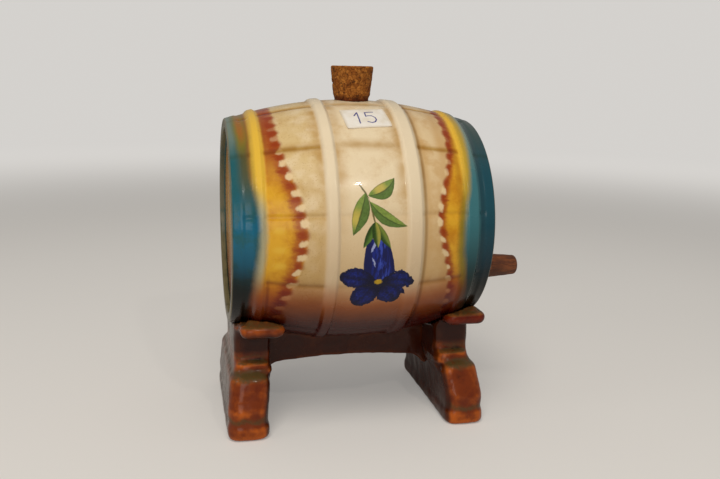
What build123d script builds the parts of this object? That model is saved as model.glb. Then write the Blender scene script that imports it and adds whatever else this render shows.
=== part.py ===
from build123d import *
import math
import os

# A small glazed earthenware barrel that lies on its own stand, with a cork bung on top
# and a turned stopper in the tap hole of its right head.
# Millimetres and degrees. X runs along the barrel towards the tap hole, Z points up.

# Barrel
barrel_length = 123.0
belly_radius = 60.0
end_radius = 49.5
axis_height = 100.0
wall = 5.0

# Rim of each end: its wall, its raised band and its rounded edges
chime_wall = 3.5
chime_width = 5.4
chime_proud = 0.6
chime_round = 1.2

# Heads: discs set into a rebate of each end, with a ledge behind them
head_thickness = 5.0
head_recess = 2.8
ledge_width = 1.5
luting_gap = 0.05

# Stave grooves, counted up from the first one above the front
stave_count = 11
first_groove_angle = 11.4
groove_depth = 0.6
groove_round = 1.2

# Hoops: end hoops are placed from the ends, middle hoops from the belly
hoop_proud = 1.2
hoop_round = 0.6
hoop_root = 1.0
left_hoop_inset = 12.2
left_hoop_width = 6.0
left_middle_hoop_x = -17.8
left_middle_hoop_width = 7.1
right_middle_hoop_x = 19.9
right_middle_hoop_width = 8.8
right_hoop_inset = 12.3
right_hoop_width = 8.7

# Bung cork, standing in the hole on top of the belly
bung_x = 1.6
bung_neck_radius = 8.6
bung_shoulder_radius = 9.3
bung_top_radius = 10.7
bung_neck_height = 0.6
bung_neck_swell = 0.15
bung_shoulder_height = 2.5
bung_height = 16.5
bung_shank = 15.0
bung_shank_slope = 0.045
bung_edge_round = 0.9

# Tap stopper: a grip outside the right head and a shank in its hole, above the rim's inner wall
tap_rim_gap = 18.2
grip_length = 35.9
grip_root_radius = 8.15
grip_tip_radius = 5.25
grip_edge_round = 1.7
tap_shank_radius = 7.2
tap_shank_inside = 8.0
tap_shank_slope = 0.055
shank_tip_round = 0.8

# Clearances of the two stoppers in their holes and of the stand under the barrel
stopper_clearance = 0.05
seat_gap = 0.05

# Paper price label, stuck to the shoulder of the belly
label_length = 22.0
label_height = 16.0
label_thickness = 0.2
label_gap = 0.05
label_x = 2.5
label_angle = 62.0
label_turn = 6.0

# Stand: two solid trestles, placed from the barrel's ends and leaning towards the belly
left_foot_inset = 7.8
left_shoulder_inset = 9.5
left_collar_inset = 10.8
left_cap_inset = 14.6
right_foot_inset = 6.5
right_shoulder_inset = 9.2
right_collar_inset = 10.9
right_cap_inset = 7.9

# Foot: a rolled toe and above it a tapering bulge with rounded shoulders
toe_width = 20.5
toe_depth = 84.0
toe_height = 8.0
toe_round = 2.6
toe_step = 0.9
foot_corner_round = 6.0
foot_height = 31.0
bulge_height = 14.0
shoulder_width = 19.5
shoulder_depth = 72.0
shoulder_round = 5.0

# Collar: two rounded ridges on the foot
collar_width = 19.0
collar_depth = 65.0
collar_setback = 1.0
collar_corner_round = 5.0
ridge_height = 3.0
ridge_round = 1.35

# Waist, and the cap that carries the barrel on a lip at front and back
waist_width = 18.0
waist_depth = 55.0
waist_corner_round = 4.0
bracket_rise = 9.0
bracket_reach = 6.0
bracket_hollow = 0.3
cap_width = 21.4
cap_height = 6.4
cap_lip = 6.8
cap_round = 3.0
cap_corner_round = 4.5
saddle_half_angle = 38.5
ramp_height = 2.2
ramp_setback = 3.4

# Stretcher: an upright web between the trestles, arched underneath
web_thickness = 9.0
web_clear_height = 27.3
web_haunch_height = 25.5
web_corner_round = 10.0

# Worked out from the sizes above
half_length = barrel_length / 2
belly_drop = belly_radius - end_radius
stave_arc_radius = (half_length**2 + belly_drop**2) / (2 * belly_drop)
rebate_radius = end_radius - chime_wall
cavity_end_radius = rebate_radius - ledge_width
head_face_x = half_length - head_recess
ledge_x = head_face_x - head_thickness
tap_height = axis_height - rebate_radius + tap_rim_gap
grip_tip_x = head_face_x + grip_length
left_foot_x = left_foot_inset - half_length
left_shoulder_x = left_shoulder_inset - half_length
left_collar_x = left_collar_inset - half_length
left_cap_x = left_cap_inset - half_length
right_foot_x = half_length - right_foot_inset
right_shoulder_x = half_length - right_shoulder_inset
right_collar_x = half_length - right_collar_inset
right_cap_x = half_length - right_cap_inset
left_hoop_x = left_hoop_inset - half_length
right_hoop_x = half_length - right_hoop_inset
hoops = [
    (left_hoop_x, left_hoop_width),
    (left_middle_hoop_x, left_middle_hoop_width),
    (right_middle_hoop_x, right_middle_hoop_width),
    (right_hoop_x, right_hoop_width),
]

# The middle of the whole length is the origin, and the stopper makes it longer on the right
left_reach = max(half_length, toe_width / 2 - left_foot_x)
right_reach = max(grip_tip_x, right_foot_x + toe_width / 2)
barrel_x = (left_reach - right_reach) / 2


def stave_radius(x, proud=0.0):
    """Radius of the barrel's outside at a distance x from the belly."""
    arc = stave_arc_radius + proud
    return belly_radius - stave_arc_radius + math.sqrt(arc**2 - x**2)


def stave_arc(x_from, x_to, proud=0.0):
    """Piece of the barrel's outline, moved outwards by proud."""
    x_middle = (x_from + x_to) / 2
    places = [(x, stave_radius(x, proud)) for x in (x_from, x_middle, x_to)]
    return ThreePointArc(*places)


def outline_face(*lines):
    """Face in the upright plane along the barrel, from its lines in order."""
    return Plane.XZ * make_face(Curve() + list(lines))


def turned(*points):
    """Closed outline through points, as a face in the upright plane."""
    return Plane.XZ * make_face(Polyline(*points, close=True))


def rounded(face, places, radius):
    """Face with the corners nearest to the given (x, z) places rounded."""
    corners = []
    for x, z in places:
        corners.append(face.vertices().sort_by_distance((x, 0, z))[0])
    return fillet(corners, radius)


def on_axis(shape):
    """Shape turned about the barrel's axis, lifted to the axis height."""
    return Pos(0, 0, axis_height) * shape


def band(x_from, x_to, proud, edge_round):
    """Raised ring round the barrel between two places along it."""
    outer = stave_arc(x_from, x_to, proud)
    inner = stave_arc(x_from, x_to, -hoop_root)
    face = outline_face(outer, Line(outer @ 1, inner @ 1), inner, Line(inner @ 0, outer @ 0))
    corners = [(x, stave_radius(x, proud)) for x in (x_from, x_to)]
    return revolve(rounded(face, corners, edge_round), Axis.X)


def stave_grooves():
    """Rings that cut the shallow grooves between the staves."""
    lift = groove_round - groove_depth
    ring = Rot(90, 0, 0) * Torus(stave_arc_radius + lift, groove_round)
    ring = Pos(0, 0, belly_radius - stave_arc_radius) * ring
    step = 360 / stave_count
    quarter = 90
    turns = [quarter - first_groove_angle - step * i for i in range(stave_count)]
    return [Rot(turn, 0, 0) * ring for turn in turns]


def chime_bands():
    """Slightly raised band at each end."""
    inner_x = half_length - chime_width
    left = band(-half_length, -inner_x, chime_proud, chime_proud)
    right = band(inner_x, half_length, chime_proud, chime_proud)
    return [left, right]


def shell_face():
    """Section of the barrel's wall, with a rebate for a head at each end."""
    outside = stave_arc(-half_length, half_length)
    cavity = ThreePointArc(
        (ledge_x, cavity_end_radius), (0, belly_radius - wall), (-ledge_x, cavity_end_radius)
    )
    right_end = Polyline(
        outside @ 1, (half_length, rebate_radius), (ledge_x, rebate_radius), cavity @ 0
    )
    left_end = Polyline(
        cavity @ 1, (-ledge_x, rebate_radius), (-half_length, rebate_radius), outside @ 0
    )
    return outline_face(outside, right_end, cavity, left_end)


def bung_hole():
    """Tapered hole through the top of the wall, a clearance wider than the cork."""
    top = bung_neck_height
    bottom = -2 * wall
    top_radius = bung_neck_radius + stopper_clearance
    bottom_radius = top_radius - (top - bottom) * bung_shank_slope
    face = turned((0, bottom), (bottom_radius, bottom), (top_radius, top), (0, top))
    return Pos(bung_x, 0, axis_height + belly_radius) * revolve(face, Axis.Z)


def barrel_shell():
    """Hollow barrel with staves, hoops, rims and the bung hole."""
    rims = [(x, r) for x in (-half_length, half_length) for r in (rebate_radius, end_radius)]
    body = revolve(rounded(shell_face(), rims, chime_round), Axis.X)
    for chime in chime_bands():
        body += chime
    for groove in stave_grooves():
        body -= groove
    for x, width in hoops:
        body += band(x - width / 2, x + width / 2, hoop_proud, hoop_round)
    return on_axis(body) - bung_hole()


def barrel_envelope():
    """Outside of the barrel with its hoops, a seat gap larger and run on past its ends, to cut the stand."""
    outside = stave_arc(-half_length, half_length, seat_gap + chime_proud)
    run_on_x = half_length + cap_width
    run_on_radius = stave_radius(half_length, seat_gap + chime_proud)
    closing = Polyline(
        outside @ 1, (run_on_x, run_on_radius), (run_on_x, 0), (-run_on_x, 0), (-run_on_x, run_on_radius),
        outside @ 0,
    )
    body = revolve(outline_face(outside, closing), Axis.X)
    for x, width in hoops:
        reach = width / 2 + seat_gap
        body += band(x - reach, x + reach, hoop_proud + seat_gap, hoop_round)
    return on_axis(body)


def head():
    """Plain disc that closes the right end."""
    radius = rebate_radius - luting_gap
    face = turned((ledge_x, 0), (ledge_x, radius), (head_face_x, radius), (head_face_x, 0))
    return on_axis(revolve(face, Axis.X))


def shank_radius(x):
    """Radius of the tap stopper's shank, smaller towards the inside."""
    return tap_shank_radius - (head_face_x - x) * tap_shank_slope


def tap_hole():
    """Tapered hole through the right head."""
    ends = (ledge_x - wall, head_face_x + wall)
    radii = [shank_radius(x) + stopper_clearance for x in ends]
    face = turned((ends[0], 0), (ends[0], radii[0]), (ends[1], radii[1]), (ends[1], 0))
    return Pos(0, 0, tap_height) * revolve(face, Axis.X)


def tap_stopper():
    """Turned stopper: the grip tapers outwards and the shank inwards."""
    grip_x = head_face_x + stopper_clearance
    inner_x = ledge_x - tap_shank_inside
    face = turned(
        (inner_x, 0),
        (inner_x, shank_radius(inner_x)),
        (grip_x, shank_radius(grip_x)),
        (grip_x, grip_root_radius),
        (grip_tip_x, grip_tip_radius),
        (grip_tip_x, 0),
    )
    face = rounded(face, [(grip_tip_x, grip_tip_radius)], grip_edge_round)
    face = rounded(face, [(inner_x, shank_radius(inner_x))], shank_tip_round)
    return Pos(0, 0, tap_height) * revolve(face, Axis.X)


def bung_cork():
    """Cork with a tapered shank, a curved neck and a wider flat-topped grip."""
    foot_radius = bung_neck_radius - (bung_neck_height + bung_shank) * bung_shank_slope
    bend_radius = (bung_neck_radius + bung_shoulder_radius) / 2 + bung_neck_swell
    bend_height = (bung_neck_height + bung_shoulder_height) / 2
    shank = Polyline((0, -bung_shank), (foot_radius, -bung_shank), (bung_neck_radius, bung_neck_height))
    neck = ThreePointArc(
        shank @ 1, (bend_radius, bend_height), (bung_shoulder_radius, bung_shoulder_height)
    )
    grip = Polyline(neck @ 1, (bung_top_radius, bung_height), (0, bung_height))
    face = outline_face(shank, neck, grip, Line(grip @ 1, shank @ 0))
    edges = [(foot_radius, -bung_shank), (bung_top_radius, bung_height)]
    face = rounded(face, edges, bung_edge_round)
    return Pos(bung_x, 0, axis_height + belly_radius) * revolve(face, Axis.Z)


def price_label():
    """Thin paper rectangle that follows the barrel's curve."""
    inner = stave_arc(-label_length, label_length, label_gap)
    outer = stave_arc(-label_length, label_length, label_gap + label_thickness)
    skin = revolve(
        outline_face(outer, Line(outer @ 1, inner @ 1), inner, Line(inner @ 0, outer @ 0)), Axis.X
    )
    block = Box(label_length, label_height, belly_radius, align=(Align.CENTER, Align.CENTER, Align.MIN))
    block = Pos(label_x, 0, 0) * Rot(0, 0, label_turn) * block
    quarter = 90
    return on_axis(skin & (Rot(quarter - label_angle, 0, 0) * block))


def slab(x, width, depth, bottom, top, corner_round, edge_round):
    """Block with rounded upright corners and rounded top and bottom edges."""
    block = Box(width, depth, top - bottom, align=(Align.CENTER, Align.CENTER, Align.MIN))
    block = fillet(block.edges().filter_by(Axis.Z), corner_round)
    level = block.edges().group_by(Axis.Z)
    block = fillet(level[0] + level[-1], edge_round)
    return Pos(x, 0, bottom) * block


def section(x, width, depth, height):
    """Rounded rectangle at a height."""
    return Pos(x, 0, height) * RectangleRounded(width, depth, foot_corner_round)


def foot(lower_x, upper_x):
    """Foot with a rolled toe and a bulge that leans and tapers to rounded shoulders."""
    toe = slab(lower_x, toe_width, toe_depth, 0, toe_height, foot_corner_round, toe_round)
    bulge_width = toe_width - 2 * toe_step
    bulge_depth = toe_depth - 2 * toe_step
    bulge = loft(
        [
            section(lower_x, bulge_width, bulge_depth, toe_height / 2),
            section(lower_x, toe_width - toe_step, bulge_depth, bulge_height),
            section(upper_x, shoulder_width, shoulder_depth, foot_height),
        ],
        ruled=True,
    )
    rim = bulge.edges().group_by(Axis.Z)[-1]
    return toe + fillet(rim, shoulder_round)


def collar(x):
    """Two rounded ridges on top of the foot."""
    body = slab(
        x,
        collar_width - 2 * collar_setback,
        collar_depth - 2 * collar_setback,
        foot_height - shoulder_round,
        foot_height + ridge_height,
        collar_corner_round,
        collar_setback,
    )
    for step in range(2):
        bottom = foot_height - ridge_height / 2 + step * ridge_height
        body += slab(
            x,
            collar_width - 2 * step * collar_setback,
            collar_depth - 2 * step * collar_setback,
            bottom,
            bottom + ridge_height,
            collar_corner_round,
            ridge_round,
        )
    return body


def saddle_radius(cap_x):
    """Radius of the hooped barrel over a trestle."""
    return stave_radius(cap_x, hoop_proud)


def cap_top(cap_x):
    """Height at which the cap leaves the barrel."""
    return axis_height - saddle_radius(cap_x) * math.cos(math.radians(saddle_half_angle))


def cap_half_depth(cap_x):
    """Half of the cap's depth: the barrel's half width there and the lip in front of it."""
    return saddle_radius(cap_x) * math.sin(math.radians(saddle_half_angle)) + cap_lip


def waist(x, cap_x):
    """Narrow block between collar and cap, with a curved bracket under each lip."""
    bottom = foot_height
    top = cap_top(cap_x) - cap_height / 2
    half = waist_depth / 2
    bend = bracket_reach * bracket_hollow
    bend_z = top - bracket_rise * bracket_hollow
    profile = Polyline(
        (half, top - bracket_rise), (half, bottom), (-half, bottom), (-half, top - bracket_rise)
    )
    left = ThreePointArc(
        (-half, top - bracket_rise), (-half - bend, bend_z), (-half - bracket_reach, top)
    )
    right = ThreePointArc(
        (half, top - bracket_rise), (half + bend, bend_z), (half + bracket_reach, top)
    )
    face = Plane.YZ * make_face(Curve() + [profile, left, Line(left @ 1, right @ 1), right])
    block = Pos(x, 0, 0) * extrude(face, waist_width / 2, both=True)
    uprights = [edge for edge in block.edges() if abs(edge.tangent_at(0.5).X) < 0.5]
    uprights = [edge for edge in uprights if abs(edge.tangent_at(0.5).Z) > 0.3]
    return fillet(uprights, waist_corner_round)


def cap(x):
    """Rolled lip block that carries the barrel, with a low ramp up to it."""
    top = cap_top(x)
    depth = 2 * cap_half_depth(x)
    roll = slab(x, cap_width, depth, top - cap_height, top, cap_corner_round, cap_round)
    ramp = slab(
        x,
        cap_width - 2 * ramp_setback,
        depth - 2 * ramp_setback,
        top - cap_height / 2,
        top + ramp_height,
        cap_round,
        ramp_height,
    )
    return roll + ramp


def trestle(foot_x, shoulder_x, collar_x, cap_x):
    """One side of the stand, its saddle cut to the barrel."""
    body = foot(foot_x, shoulder_x) + collar(collar_x) + waist(collar_x, cap_x) + cap(cap_x)
    return body - barrel_envelope()


def stretcher(left, right):
    """Upright web from trestle to trestle, up to the belly, with an arched lower edge."""
    left_x = left_shoulder_x + shoulder_width / 2
    right_x = right_shoulder_x - shoulder_width / 2
    spring = web_haunch_height - web_corner_round
    bend = web_corner_round * (1 - math.sqrt(0.5))
    middle_x = (left_x + right_x) / 2
    start = (left_x, spring)
    finish = (right_x, spring)
    left_haunch = (left_x + web_corner_round, web_haunch_height)
    right_haunch = (right_x - web_corner_round, web_haunch_height)
    left_bend = (left_x + bend, web_haunch_height - bend)
    right_bend = (right_x - bend, web_haunch_height - bend)
    outline = Polyline(
        start, (left_foot_x, spring), (left_foot_x, axis_height), (right_foot_x, axis_height),
        (right_foot_x, spring), finish,
    )
    face = outline_face(
        outline,
        ThreePointArc(finish, right_bend, right_haunch),
        ThreePointArc(right_haunch, (middle_x, web_clear_height), left_haunch),
        ThreePointArc(left_haunch, left_bend, start),
    )
    web = extrude(face, web_thickness / 2, both=True)
    return web - barrel_envelope() - left - right


left_trestle = trestle(left_foot_x, left_shoulder_x, left_collar_x, left_cap_x)
right_trestle = trestle(right_foot_x, right_shoulder_x, right_collar_x, right_cap_x)

parts = {
    "barrel_shell": barrel_shell(),
    "left_head": Pos(0, 0, 2 * axis_height) * Rot(0, 180, 0) * head(),
    "right_head": head() - tap_hole(),
    "left_trestle": left_trestle,
    "right_trestle": right_trestle,
    "stretcher": stretcher(left_trestle, right_trestle),
    "bung_cork": bung_cork(),
    "tap_stopper": tap_stopper(),
    "price_label": price_label(),
}

os.makedirs("parts", exist_ok=True)
for name, shape in parts.items():
    export_step(Pos(barrel_x, 0, 0) * shape, f"parts/{name}.step")
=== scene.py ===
import math

import bpy
from mathutils import Matrix, Vector, noise


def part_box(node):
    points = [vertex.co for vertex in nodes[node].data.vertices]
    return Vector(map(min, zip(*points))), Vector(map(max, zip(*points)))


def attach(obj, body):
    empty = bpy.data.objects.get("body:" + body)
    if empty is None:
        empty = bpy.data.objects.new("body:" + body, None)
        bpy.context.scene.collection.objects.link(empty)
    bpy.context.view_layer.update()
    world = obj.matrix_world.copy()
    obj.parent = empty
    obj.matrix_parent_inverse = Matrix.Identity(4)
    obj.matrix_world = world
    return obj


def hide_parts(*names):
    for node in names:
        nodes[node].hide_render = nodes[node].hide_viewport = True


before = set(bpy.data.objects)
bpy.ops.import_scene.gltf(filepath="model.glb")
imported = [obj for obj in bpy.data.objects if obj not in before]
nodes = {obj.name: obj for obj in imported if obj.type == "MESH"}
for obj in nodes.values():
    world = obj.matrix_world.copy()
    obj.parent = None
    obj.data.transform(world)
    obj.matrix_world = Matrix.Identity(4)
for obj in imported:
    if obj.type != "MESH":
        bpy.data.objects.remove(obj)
bpy.ops.object.select_all(action="DESELECT")
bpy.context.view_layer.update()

# Every size below is in millimetres unless a comment says otherwise
MM = 0.001

# The barrel's place comes from the frame
shell_low, shell_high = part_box("barrel_shell")
barrel_x = (shell_low.x + shell_high.x) / 2
axis_z = (shell_low.z + shell_high.z) / 2
half_length = (shell_high.x - shell_low.x) / 2 / MM
barrel_middle = (barrel_x, 0, axis_z)

belly_radius = 60.0
end_radius = 49.5
wall = 5.0
chime_wall = 3.5
chime_width = 5.4
chime_proud = 0.6
chime_round = 1.2
head_recess = 2.8
head_thickness = 5.0
ledge_width = 1.5

# Each hoop's place along the barrel and its width
hoop_proud = 1.2
hoop_shoulder = 2.1
hoops = [(-49.3, 6.0), (-17.8, 7.1), (19.9, 8.8), (49.2, 8.7)]

stave_count = 11
first_groove_angle = 11.4
groove_depth = 0.5
stave_angle = 360 / stave_count

bung_x = 1.6
bung_hole_top_radius = 8.65
bung_hole_bottom_radius = 8.1
bung_hole_depth = 15.0

belly_drop = belly_radius - end_radius
stave_arc_radius = (half_length**2 + belly_drop**2) / (2 * belly_drop)
rebate_radius = end_radius - chime_wall
head_face_x = half_length - head_recess
ledge_x = head_face_x - head_thickness
chime_edge = half_length - chime_width


def smooth_step(value, low, high):
    """0 below low, 1 above high and a soft rise between them."""
    share = min(max((value - low) / (high - low), 0), 1)
    return share * share * (3 - 2 * share)


def stave_radius(x):
    """Radius of the staves at a distance x from the belly."""
    return belly_radius - stave_arc_radius + math.sqrt(stave_arc_radius**2 - x**2)


def hoop_share(x):
    """1 on a hoop, 0 on the staves, with a soft shoulder between."""
    return max(smooth_step(width / 2 - abs(x - place), 0, hoop_shoulder) for place, width in hoops)


def chime_share(x):
    """1 on the raised band at each end."""
    return smooth_step(abs(x), chime_edge - hoop_shoulder / 2, chime_edge + hoop_shoulder / 2)


def around(x, angle, radius):
    """Point of the frame, in metres, at x along the barrel and an angle up from its front."""
    turn = math.radians(angle)
    return Vector((
        barrel_x + x * MM,
        -radius * math.cos(turn) * MM,
        axis_z + radius * math.sin(turn) * MM,
    ))


def arc(x, radius, size, start, end, steps=4):
    """Points of an arc in the outline's plane, with angles in degrees from +x."""
    points = []
    for i in range(steps + 1):
        turn = math.radians(start + (end - start) * i / steps)
        points.append((x + size * math.cos(turn), radius + size * math.sin(turn)))
    return points


# Mesh helpers


def new_object(name, data):
    """Object in the scene, made from a mesh, a lamp or a camera."""
    thing = bpy.data.objects.new(name, data)
    bpy.context.scene.collection.objects.link(thing)
    return thing


def only(piece):
    """Select one piece and make it active."""
    bpy.ops.object.select_all(action="DESELECT")
    piece.select_set(True)
    bpy.context.view_layer.objects.active = piece


def edit(piece):
    """Go into edit mode with all of one piece selected."""
    only(piece)
    bpy.ops.object.mode_set(mode="EDIT")
    bpy.ops.mesh.select_all(action="SELECT")


def apply_modifier(piece, kind, **settings):
    """Add a modifier to a piece and apply it."""
    only(piece)
    modifier = piece.modifiers.new(kind.lower(), kind)
    for name, value in settings.items():
        setattr(modifier, name, value)
    bpy.ops.object.modifier_apply(modifier=modifier.name)


def spun(name, outline, steps, centre, axis):
    """Closed solid of revolution from an outline of points in metres."""
    mesh = bpy.data.meshes.new(name)
    closed = [(i, (i + 1) % len(outline)) for i in range(len(outline))]
    mesh.from_pydata([tuple(point) for point in outline], closed, [])
    mesh.update()
    piece = new_object(name, mesh)
    edit(piece)
    bpy.ops.mesh.spin(steps=steps, angle=2 * math.pi, center=centre, axis=axis)
    bpy.ops.mesh.select_all(action="SELECT")
    bpy.ops.mesh.remove_doubles(threshold=0.002 * MM)
    bpy.ops.mesh.normals_make_consistent(inside=False)
    bpy.ops.object.mode_set(mode="OBJECT")
    bpy.ops.object.shade_smooth()
    return piece


def smooth_up_to(piece, degrees):
    """Shade a piece smooth, except on edges that are sharper than an angle."""
    only(piece)
    bpy.ops.object.shade_smooth_by_angle(angle=math.radians(degrees))


def cut_tapered_hole(piece, middle, sides, radii, depth, turn=0.0):
    """Cut a hole round a middle given in metres, with its two end radii and its depth in millimetres."""
    bpy.ops.object.select_all(action="DESELECT")
    bpy.ops.mesh.primitive_cone_add(
        vertices=sides,
        radius1=radii[0] * MM,
        radius2=radii[1] * MM,
        depth=depth * MM,
        location=middle,
        rotation=(0, turn, 0),
    )
    cutter = bpy.context.object
    apply_modifier(piece, "BOOLEAN", operation="DIFFERENCE", object=cutter, solver="EXACT")
    bpy.data.objects.remove(cutter)


def finish_piece(piece, body, slot, material, *replaced):
    """Material, body and the nodes that a finished piece stands for; the slot is not used."""
    piece.data.materials.clear()
    piece.data.materials.append(material)
    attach(piece, body)
    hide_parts(*replaced)


# Material helpers


class Value:
    """Number, place or colour that a shader node puts out; sums with it make further nodes."""

    def __init__(self, socket):
        self.socket = socket

    def __add__(self, other):
        return calc("ADD", self, other)

    def __sub__(self, other):
        return calc("SUBTRACT", self, other)

    def __rsub__(self, other):
        return calc("SUBTRACT", other, self)

    def __mul__(self, other):
        return calc("MULTIPLY", self, other)

    def __truediv__(self, other):
        return calc("DIVIDE", self, other)

    def __abs__(self):
        return calc("ABSOLUTE", self)


def srgb(red, green, blue):
    """Linear colour from the 0 to 255 values of a picture."""
    linear = []
    for value in (red, green, blue):
        share = value / 255
        linear.append(share / 12.92 if share <= 0.04045 else ((share + 0.055) / 1.055) ** 2.4)
    return (*linear, 1)


def new_material(name):
    """Material with its node tree and its shader."""
    material = bpy.data.materials.new(name)
    material.use_nodes = True
    shader = material.node_tree.nodes["Principled BSDF"]
    return material, material.node_tree, shader


def tree_of(*values):
    """Node tree of the first node result among some values."""
    for value in values:
        if isinstance(value, Value):
            return value.socket.id_data


def fill(node, inputs):
    """Link each named or numbered input to a node result, or set it to a plain value."""
    for name, value in inputs.items():
        socket = node.inputs[name]
        if isinstance(value, Value):
            socket.id_data.links.new(value.socket, socket)
        else:
            socket.default_value = value


def new_node(tree, kind, inputs, **settings):
    """Node with its settings and its inputs."""
    node = tree.nodes.new("ShaderNode" + kind)
    for name, value in settings.items():
        setattr(node, name, value)
    fill(node, inputs)
    return node


def calc(operation, *values):
    """Result of one step of arithmetic."""
    node = new_node(tree_of(*values), "Math", dict(enumerate(values)), operation=operation)
    return Value(node.outputs[0])


def larger(first, *others):
    """Largest of several values."""
    for value in others:
        first = calc("MAXIMUM", first, value)
    return first


def smaller(first, second):
    """Smaller of two values."""
    return calc("MINIMUM", first, second)


def distance(first, *others):
    """Length of the straight line across sides that stand square to each other."""
    squares = first * first
    for side in others:
        squares = squares + side * side
    return calc("SQRT", squares)


def step(value, low, high, to_low=0.0, to_high=1.0):
    """Soft rise from to_low to to_high while value goes from low to high."""
    inputs = {"Value": value, "From Min": low, "From Max": high, "To Min": to_low, "To Max": to_high}
    node = new_node(tree_of(value), "MapRange", inputs, interpolation_type="SMOOTHSTEP")
    return Value(node.outputs["Result"])


def between(value, low, high, soft):
    """1 between low and high, falling off over soft on both sides."""
    return step(value - low, -soft / 2, soft / 2) * step(high - value, -soft / 2, soft / 2)


def paint(under, over, mask, blend="MIX"):
    """Colour over laid on colour under through a mask."""
    inputs = {"Factor": mask, "A": under, "B": over}
    node = new_node(tree_of(mask), "Mix", inputs, data_type="RGBA", blend_type=blend, clamp_factor=True)
    return Value(node.outputs["Result"])


def darken(colour, tint, mask):
    """Colour multiplied by a tint through a mask."""
    return paint(colour, tint, mask, "MULTIPLY")


def cloud(place, scale, detail=2.0, roughness=0.5, distortion=0.0):
    """Noise value from 0 to 1 at a place given in millimetres; scale is per millimetre."""
    inputs = {"Vector": place, "Scale": scale, "Detail": detail}
    inputs |= {"Roughness": roughness, "Distortion": distortion}
    return Value(new_node(tree_of(place), "TexNoise", inputs).outputs["Fac"])


def cells(place, scale, output="Distance", feature="F1"):
    """Cell pattern at a place given in millimetres; scale is per millimetre."""
    node = new_node(tree_of(place), "TexVoronoi", {"Vector": place, "Scale": scale}, feature=feature)
    return Value(node.outputs[output])


def bump(height, depth):
    """Normal of a relief whose height of 1 stands for depth millimetres."""
    inputs = {"Height": height, "Strength": 1.0, "Distance": depth * MM}
    return Value(new_node(tree_of(height), "Bump", inputs).outputs["Normal"])


def object_place(tree, origin):
    """Place in millimetres, measured from an origin in metres."""
    place = Value(tree.nodes.new("ShaderNodeTexCoord").outputs["Object"])
    inputs = {"Vector": place, "Scale": [1 / MM] * 3, "Location": [-value / MM for value in origin]}
    return Value(new_node(tree, "Mapping", inputs).outputs["Vector"])


def drawn_out(place, scales):
    """Place on which a pattern is drawn out along the axes that have a small scale."""
    return Value(new_node(tree_of(place), "Mapping", {"Vector": place, "Scale": scales}).outputs["Vector"])


def split(place):
    """The three numbers of a place or a colour."""
    node = new_node(tree_of(place), "SeparateXYZ", {"Vector": place})
    return [Value(socket) for socket in node.outputs]


def new_group(name, inputs, outputs):
    """Shader node group that takes a place and some numbers, with its start values and its end node."""
    group = bpy.data.node_groups.new(name, "ShaderNodeTree")
    group.interface.new_socket("Place", in_out="INPUT", socket_type="NodeSocketVector")
    for label in inputs:
        group.interface.new_socket(label, in_out="INPUT", socket_type="NodeSocketFloat")
    for label in outputs:
        group.interface.new_socket(label, in_out="OUTPUT", socket_type="NodeSocketFloat")
    start = group.nodes.new("NodeGroupInput")
    end = group.nodes.new("NodeGroupOutput")
    return group, {socket.name: Value(socket) for socket in start.outputs}, end


def use_group(group, place, **numbers):
    """Results of a group at a place; its other inputs are given by name, with _ for a space."""
    inputs = {name.replace("_", " ").capitalize(): value for name, value in numbers.items()}
    node = new_node(tree_of(place), "Group", {"Place": place, **inputs}, node_tree=group)
    return {socket.name: Value(socket) for socket in node.outputs}


def glaze_skin_group():
    """Fired glaze: soft unevenness, fine pinholes and slow changes of its gloss."""
    group, start, end = new_group("glaze skin", ["Wave", "Pits"], ["Height", "Pit mask", "Gloss change"])
    place = start["Place"]
    waves = cloud(place, 0.16, 2.0, 0.45)
    peel = cloud(place, 0.9, 1.0, 0.4)
    pit_size = step(cloud(place, 0.35, 1.0), 0.5, 0.68) * 0.055
    pits = calc("LESS_THAN", cells(place, 0.11), pit_size) * start["Pits"]
    relief = waves * start["Wave"] + peel * 0.012 - pits * 0.1
    gloss_change = step(cloud(place, 0.06, 3.0), 0.3, 0.75)
    fill(end, {"Height": relief, "Pit mask": pits, "Gloss change": gloss_change})
    return group


glaze_skin = glaze_skin_group()
pit_strength = 0.6


def glaze_finish(shader, place, colour, wave, gloss_range, pit_roughness):
    """Colour of a glaze, its skin, and a roughness between two limits with rougher pits."""
    skin = use_group(glaze_skin, place, wave=wave, pits=pit_strength)
    smoothest, roughest = gloss_range
    roughness = skin["Gloss change"] * (roughest - smoothest) + smoothest
    roughness = skin["Pit mask"] * pit_roughness + roughness
    fill(shader, {"Base Color": colour, "Roughness": roughness, "Normal": bump(skin["Height"], 1.0)})


def stave_line_group():
    """Angle round the barrel, and the distance in millimetres from the nearest stave groove."""
    group, start, end = new_group("stave line", [], ["Angle", "Front angle", "Distance"])
    _, y, z = split(start["Place"])
    angle = calc("DEGREES", calc("ARCTAN2", z, y * -1.0))
    front = calc("DEGREES", calc("ARCTAN2", z, abs(y)))
    wobble = (cloud(start["Place"], 0.05, 1.0) - 0.5) * 1.6
    share = (angle - first_groove_angle) / stave_angle
    share = share - calc("ROUND", share)
    stave_width = math.radians(stave_angle) * (belly_radius + end_radius) / 2
    from_groove = abs(share * stave_width + wobble)
    fill(end, {"Angle": angle, "Front angle": front, "Distance": from_groove})
    return group


stave_line = stave_line_group()

# Angle from one dot to the next, in degrees
dot_pitch_angle = 7.4


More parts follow.
